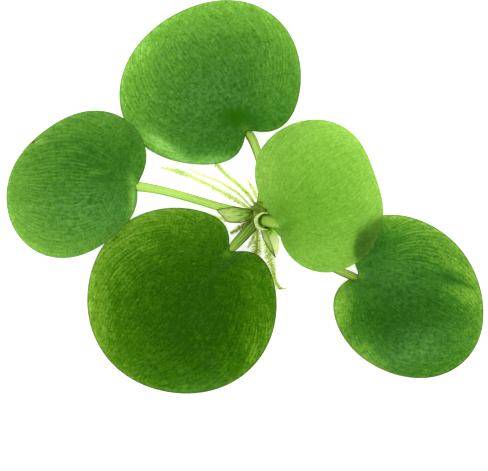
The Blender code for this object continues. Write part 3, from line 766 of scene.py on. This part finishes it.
for name, scale in SCALES.items():
    share = np.linspace(0, 1, SCALE_ROWS)
    down = share[:, None]
    side = np.linspace(-1, 1, SCALE_COLUMNS)
    middles, _, across, _ = line_frames(scale["route"], share)
    half_width = along_values(scale["half_widths"], down)
    points = middles[:, None] + across[:, None] * (side * half_width)[:, :, None]
    # the sheet is arched, its edges curl up a little, and it is ruffled along them
    arch = scale["arch"] * (1 - side ** 2) + scale["curl"] * np.abs(side) ** 6
    arch = arch + SCALE_RUFFLE * np.sin(down * 23) * side ** 3
    points[:, :, 2] += SCALE_LIFT + arch * half_width / max(scale["half_widths"])
    upper = points.reshape(-1, 3)
    lower = upper - (0, 0, SCALE_THICKNESS)
    # nine wandering veins run from the crown to the tip
    wander = np.sin(down * 11) + 0.6 * np.sin(down * 27 + side * 2)
    vein = np.cos(side * 9 * math.pi + wander) * np.cos(side * 5 + down * 8)
    vein = scale["veined"] * (0.5 + 0.5 * vein) ** 2
    left, right = scale["outline"]
    edge = np.exp(-((1 - np.abs(side)) * half_width / SCALE_EDGE) ** 2)
    edge = edge * np.where(side > 0, right, left) * soft_step(down / 0.25)
    tone = np.repeat(along_values(scale["tone"], share), SCALE_COLUMNS)
    add_piece("scale_" + name, np.concatenate([upper, lower]),
              sheet_faces(SCALE_ROWS, SCALE_COLUMNS), [papery_membrane], name, "sheath",
              vein=np.tile(vein.ravel(), 2), edge=np.tile(edge.ravel(), 2), tone=np.tile(tone, 2))

# Collar
# The whitish C of sheath that stands round the foot of the young stalk, open to the right. It is
# the same papery membrane, wrapped and left standing when the young leaf pushed through.
COLLAR_CENTRE = (0.92, -1.17)
COLLAR_RADIUS = 1.34
COLLAR_THICKNESS = 0.16
COLLAR_FOOT = 4.15
COLLAR_FOOT_HEIGHT = 0.35
COLLAR_HEIGHT = 1.2
COLLAR_LEAN = (-0.5, -0.05)
COLLAR_WAVE = 0.05
COLLAR_START = 72.0
COLLAR_TURN = 212.0
COLLAR_STEPS = 90
COLLAR_LEVELS = 14

share, level = np.meshgrid(np.linspace(0, 1, COLLAR_STEPS), np.linspace(0, 1, COLLAR_LEVELS),
                           indexing="ij")
turn = np.radians(COLLAR_START + share * COLLAR_TURN)
# it is lower at both ends, and its top is a little wavy
height = COLLAR_HEIGHT * (0.45 + 0.55 * np.sin(math.pi * share)) * (1 + 0.06 * np.sin(turn * 9))
sheets = []
for offset in (COLLAR_THICKNESS / 2, -COLLAR_THICKNESS / 2):
    radius = COLLAR_RADIUS + offset + COLLAR_WAVE * np.sin(turn * 5) * level
    sheet = [COLLAR_CENTRE[0] + COLLAR_LEAN[0] * level + radius * np.cos(turn),
             COLLAR_CENTRE[1] + COLLAR_LEAN[1] * level + radius * np.sin(turn),
             COLLAR_FOOT + level * (height + COLLAR_FOOT_HEIGHT)]
    sheets.append(np.stack(sheet, axis=-1).reshape(-1, 3))
add_piece("scale_sheath_young", np.concatenate(sheets), sheet_faces(COLLAR_STEPS, COLLAR_LEVELS),
          [papery_membrane], "sheath_young", "sheath",
          vein=np.tile((0.08 + 0.08 * np.cos(turn * 16)).ravel(), 2),
          edge=np.tile((0.1 * level ** 12).ravel(), 2),
          tone=np.tile((0.8 + 0.8 * level).ravel(), 2))

# Roots
# Eight young roots spread under the leaves: a pale thread of tissue up to 0.36 mm thick, with a
# plume of root hairs all along it that catches a few grains of silt. The real hairs are finer
# and denser, and are drawn 0.05 mm thick so that they show.

# Each row gives the route, the half widths of the plume, how pale the hairs and the thread are,
# and the grains in a millimetre
ROOTS = {
    "root_long": (
        [(-1.95, 1.02, 0.75), (-3.2, 1.85, 0.6), (-5.2, 3.05, 0.5), (-8.3, 4.7, 0.5),
         (-11.3, 6.15, 0.5), (-13.4, 6.95, 0.45), (-16.0, 7.5, 0.35)],
        (0.3, 0.52, 0.65, 0.48, 0.5, 0.65, 0.2), 0.65, 0.6, 2.0,
    ),
    "root_thin": (
        [(-1.68, 1.45, 1.45), (-3.3, 3.1, 1.2), (-6.2, 5.05, 0.8), (-9.2, 6.25, 0.8),
         (-11.4, 7.25, 0.6)],
        (0.22, 0.38, 0.42, 0.28, 0.15), 0.75, 0.75, 1.0,
    ),
    "root_back": (
        [(-1.05, 1.95, 0.7), (-2.4, 3.75, 0.5), (-5.2, 6.15, 0.45), (-6.95, 7.95, 0.4),
         (-7.8, 8.9, 0.3)],
        (0.3, 0.6, 0.5, 0.4, 0.2), 0.55, 0.4, 6.0,
    ),
    "root_back_short": (
        [(-0.3, 2.17, 1.05), (-0.8, 3.4, 1.15), (-1.55, 4.75, 0.85), (-2.1, 5.6, 0.55)],
        (0.3, 0.6, 0.5, 0.2), 0.8, 0.8, 3.0,
    ),
    "root_front_short": (
        [(-0.38, -2.2, 0.65), (-0.45, -4.1, 0.42), (-0.6, -6.0, 0.45), (-0.8, -7.3, 0.4)],
        (0.36, 0.95, 1.1, 0.6), 0.5, 0.12, 9.0,
    ),
    "root_front_long": (
        [(0.6, -2.18, 1.0), (1.0, -4.4, 1.4), (1.5, -6.8, 0.72), (2.05, -9.0, 0.5),
         (2.65, -11.2, 0.45), (3.4, -11.95, 0.35), (4.4, -11.9, 0.2)],
        (0.32, 0.85, 0.95, 0.75, 0.55, 0.28, 0.1), 0.55, 0.3, 7.0,
    ),
    "root_left_dark": (
        [(-2.0, -1.15, 0.6), (-3.1, -2.15, 0.5), (-4.7, -3.1, 0.35)],
        (0.3, 0.65, 0.35), 0.1, 0.0, 24.0,
    ),
    "root_left_pale": (
        [(-2.2, -0.2, 0.8), (-3.6, -0.7, 0.7), (-5.3, -0.9, 0.5), (-7.5, -0.3, 0.35)],
        (0.25, 0.5, 0.6, 0.25), 0.6, 0.65, 9.0,
    ),
}
ROOT_SIDES = 14
ROOT_STEP = 0.15
ROOT_FLATNESS = 0.36
CORE_SHARE = 0.6
CORE_RADIUS = 0.18
ROOT_INTO_CROWN = 0.6
HAIRS_PER_MM = 160
HAIR_SPREAD = 0.5
HAIR_RADIUS = 0.026
HAIR_JOINTS = 4
HAIR_LOWEST = 0.02
GRAIN_SMALLEST = 0.035
GRAIN_GROWTH = 0.08
GRAIN_LOWEST = 0.15
GRAIN_CORNERS = [(1, 0, 0), (-1, 0, 0), (0, 1, 0), (0, -1, 0), (0, 0, 1), (0, 0, -1)]
GRAIN_SIDES = [(0, 2, 4), (2, 1, 4), (1, 3, 4), (3, 0, 4),
               (2, 0, 5), (1, 2, 5), (3, 1, 5), (0, 3, 5)]

# Root tissue: satin, pale yellow-green and see-through
root_tissue, tree = new_material("root_pale_tissue")
tone = add_node(tree, "Attribute", out="Fac", attribute_name="tone")
place = add_node(tree, "TexCoord", out="Object")
fleck = add_node(tree, "TexNoise", {"Vector": place, "Scale": 1700.0, "Detail": 4.0})
shade = add_node(tree, "Math", {0: fleck, 1: 0.6, 2: tone}, operation="MULTIPLY_ADD")
shade = add_node(tree, "Math", {0: shade, 1: 0.3}, operation="SUBTRACT")
colour = add_node(tree, "ValToRGB", {"Fac": shade},
                  stops=[(0.0, "#C4D068"), (0.35, "#ECFAA8"), (0.7, "#FAFFD0"), (1.0, "#FEFFE8")])
thin_tissue(tree, colour, 0.97, 0.5, 0.3)

# Root hairs: each one a single clear cell with hardly any wall, which bends light very little, so
# that a plume is a pale yellow-green haze
root_hair, tree = new_material("root_hair_glassy_cell")
tone = add_node(tree, "Attribute", out="Fac", attribute_name="tone")
colour = add_node(tree, "ValToRGB", {"Fac": tone},
                  stops=[(0.0, "#8C9840"), (0.3, "#CAD88A"), (0.55, "#E2F2AE"), (1.0, "#F2FCD0")])
surface = add_node(tree, "BsdfPrincipled", {"Base Color": colour, "Roughness": 0.1, "IOR": 1.05,
                                            "Transmission Weight": 1.0, "Specular IOR Level": 0.3})
add_node(tree, "OutputMaterial", {"Surface": surface})

# Grains of silt: matt, dark olive to olive brown
silt_grain, tree = new_material("silt_grain")
place = add_node(tree, "TexCoord", out="Object")
fleck = add_node(tree, "TexNoise", {"Vector": place, "Scale": 4000.0, "Detail": 2.0})
colour = add_node(tree, "ValToRGB", {"Fac": fleck}, stops=[(0.3, "#2A2A0C"), (0.7, "#76762C")])
surface = add_node(tree, "BsdfPrincipled", {"Base Color": colour, "Roughness": 0.85})
add_node(tree, "OutputMaterial", {"Surface": surface})

for root_number, (name, row) in enumerate(ROOTS.items()):
    route, half_widths, hair_paleness, core_paleness, grains_per_mm = row
    draw = np.random.default_rng(100 + root_number)
    # each root starts inside the crown
    heading = np.array(route[0]) - route[1]
    route = [np.array(route[0]) + heading * ROOT_INTO_CROWN / np.linalg.norm(heading)] + route
    half_widths = half_widths[:1] + half_widths
    core_radii = [min(CORE_RADIUS, CORE_SHARE * width) for width in half_widths]
    core, _, _, share, rings = tube_points(route, core_radii, ROOT_SIDES, ROOT_STEP)
    core_tone = core_paleness + 0.12 * np.sin(share * 40 + root_number) * np.sin(share * 23)
    core_faces = tube_faces(rings, ROOT_SIDES)
    length = (rings - 1) * ROOT_STEP
    # hairs are as crowded as the plume is wide, and stand out to its edge, most of them level
    crowd_shares = np.linspace(0.03, 0.99, 400)
    crowd = np.cumsum(0.1 + along_values(half_widths, crowd_shares))
    hair_count = round(HAIRS_PER_MM * length * crowd[-1] / len(crowd))
    hair_shares = np.sort(draw.uniform(crowd[0], crowd[-1], hair_count))
    hair_shares = np.interp(hair_shares, crowd, crowd_shares)
    hair_tones = hair_paleness + draw.normal(0, 0.2, hair_count)
    drawn = [(math.pi * draw.integers(2) + draw.normal(0, HAIR_SPREAD), draw.uniform(0.6, 1.0),
              draw.uniform(-0.1, 0.5), draw.normal(0, 0.18)) for _ in range(hair_count)]
    spin, reach, lean, bow = np.array(drawn).T[:, :, None]
    foot, ahead, across, upward = line_frames(route, hair_shares)
    out = across * np.cos(spin) + upward * np.sin(spin) * ROOT_FLATNESS
    sideways = np.cross(out, ahead)
    reach = reach * along_values(half_widths, hair_shares)[:, None]
    start = 0.9 * along_values(core_radii, hair_shares)[:, None]
    # each hair is a thin tube that leans a little towards the root's tip
    part = np.linspace(0, 1, HAIR_JOINTS)
    stand = start + (reach - start) * part
    sweep = reach * (lean * part ** 1.5 + bow * part * (1 - part))
    middles = foot[:, None] + out[:, None] * stand[:, :, None] + ahead[:, None] * sweep[:, :, None]
    angle = 2 * math.pi * np.arange(3)[:, None] / 3
    corner = ahead[:, None] * np.cos(angle) + sideways[:, None] * np.sin(angle)
    thickness = HAIR_RADIUS * (1 - 0.4 * part)[:, None, None]
    hairs = (middles[:, :, None] + corner[:, None] * thickness).reshape(-1, 3)
    hairs[:, 2] = np.maximum(hairs[:, 2], HAIR_LOWEST)
    one_hair = tube_faces(HAIR_JOINTS, 3)
    hair_faces = [[first + index for index in face]
                  for first in range(len(core), len(core) + len(hairs), 3 * HAIR_JOINTS)
                  for face in one_hair]
    # grains caught among the hairs, each a rough little lump with eight sides
    grains = []
    for _ in range(round(grains_per_mm * length)):
        place_share = [0.06 + 0.84 * draw.uniform() ** 2]
        size = GRAIN_SMALLEST + GRAIN_GROWTH * draw.uniform() ** 2
        at = smooth_points(route, place_share)[0]
        at = at + draw.normal(0, 0.42, 3) * along_values(half_widths, place_share)
        at[2] = max(at[2], GRAIN_LOWEST)
        grains.append(GRAIN_CORNERS * draw.uniform(0.6, 1.3, (6, 1)) * size + at)
    first_grain = len(core) + len(hairs)
    grain_faces = [[first_grain + 6 * number + corner for corner in side]
                   for number in range(len(grains)) for side in GRAIN_SIDES]
    tone = np.concatenate([core_tone, np.repeat(hair_tones, 3 * HAIR_JOINTS),
                           np.zeros(6 * len(grains))])
    kinds = [0] * len(core_faces) + [1] * len(hair_faces) + [2] * len(grain_faces)
    add_piece("plume_" + name, np.concatenate([core, hairs, *grains]),
              core_faces + hair_faces + grain_faces, [root_tissue, root_hair, silt_grain], name,
              "root", kinds, tone=tone)

# Light table
# A sheet of matt white acrylic, wide and plain, lit softly from below so that the thin green
# tissue glows.
TABLE_SIZE = 6000.0
TABLE_DROP = 0.02

acrylic, tree = new_material("floor_matt_white_acrylic")
surface = add_node(tree, "BsdfPrincipled", {
    "Base Color": linear("#CDCECC"), "Roughness": 0.9, "Specular IOR Level": 0.1,
    "Emission Color": linear("#FFFFFF"), "Emission Strength": 0.75})
add_node(tree, "OutputMaterial", {"Surface": surface})
half = TABLE_SIZE / 2 * 0.001
table_mesh = bpy.data.meshes.new("floor")
table_mesh.from_pydata([(-half, -half, 0), (half, -half, 0), (half, half, 0), (-half, half, 0)],
                       [], [(0, 1, 2, 3)])
table_mesh.materials.append(acrylic)
table = bpy.data.objects.new("floor", table_mesh)
table.location.z = -TABLE_DROP * 0.001
bpy.context.scene.collection.objects.link(table)

# Studio light
# An even white surround, dark straight overhead so that the waxy leaves don't mirror it, and
# three large soft boxes round the plant.
SOFT_BOXES = [(120, 48, 2.4), (20, 40, 1.8), (250, 45, 1.8)]
BOX_SIZE = 0.5
BOX_DISTANCE = 0.7

world = bpy.data.worlds.new("studio")
world.use_nodes = True
tree = world.node_tree
tree.nodes.clear()
place = add_node(tree, "TexCoord", out="Generated")
upward = add_node(tree, "SeparateXYZ", {0: place}, out=2)
overhead = add_node(tree, "MapRange", {"Value": upward, "From Min": 0.55, "From Max": 0.9,
                                       "To Min": 0.85, "To Max": 0.02},
                    interpolation_type="SMOOTHSTEP")
sky = add_node(tree, "Background", {"Color": linear("#FFFFFF"), "Strength": overhead})
add_node(tree, "OutputWorld", {"Surface": sky})
bpy.context.scene.world = world

for azimuth, elevation, energy in SOFT_BOXES:
    box = bpy.data.lights.new("soft_box", "AREA")
    box.shape = "DISK"
    box.size = BOX_SIZE
    box.energy = energy
    lamp = bpy.data.objects.new("soft_box", box)
    azimuth, elevation = math.radians(azimuth), math.radians(elevation)
    lamp.location = BOX_DISTANCE * Vector((math.cos(elevation) * math.cos(azimuth),
                                           math.cos(elevation) * math.sin(azimuth),
                                           math.sin(elevation)))
    lamp.rotation_euler = (-lamp.location).to_track_quat("-Z", "Y").to_euler()
    bpy.context.scene.collection.objects.link(lamp)

bpy.context.scene.view_settings.view_transform = "Standard"

# Camera
# Straight above the plant, with the back of the plant at the top of the picture. The width of
# the view is measured at the height of the leaves.
VIEW_WIDTH = 78.08
VIEW_CENTRE = (-2.56, -3.44)
LEAF_HEIGHT = 2.0
LENS = 135.0
SENSOR = 36.0

camera_data = bpy.data.cameras.new("camera")
camera_data.lens = LENS
camera_data.sensor_width = SENSOR
camera_data.clip_start = 0.01
camera = bpy.data.objects.new("camera", camera_data)
camera.location = Vector((*VIEW_CENTRE, LEAF_HEIGHT + VIEW_WIDTH * LENS / SENSOR)) * 0.001
bpy.context.scene.collection.objects.link(camera)
bpy.context.scene.camera = camera
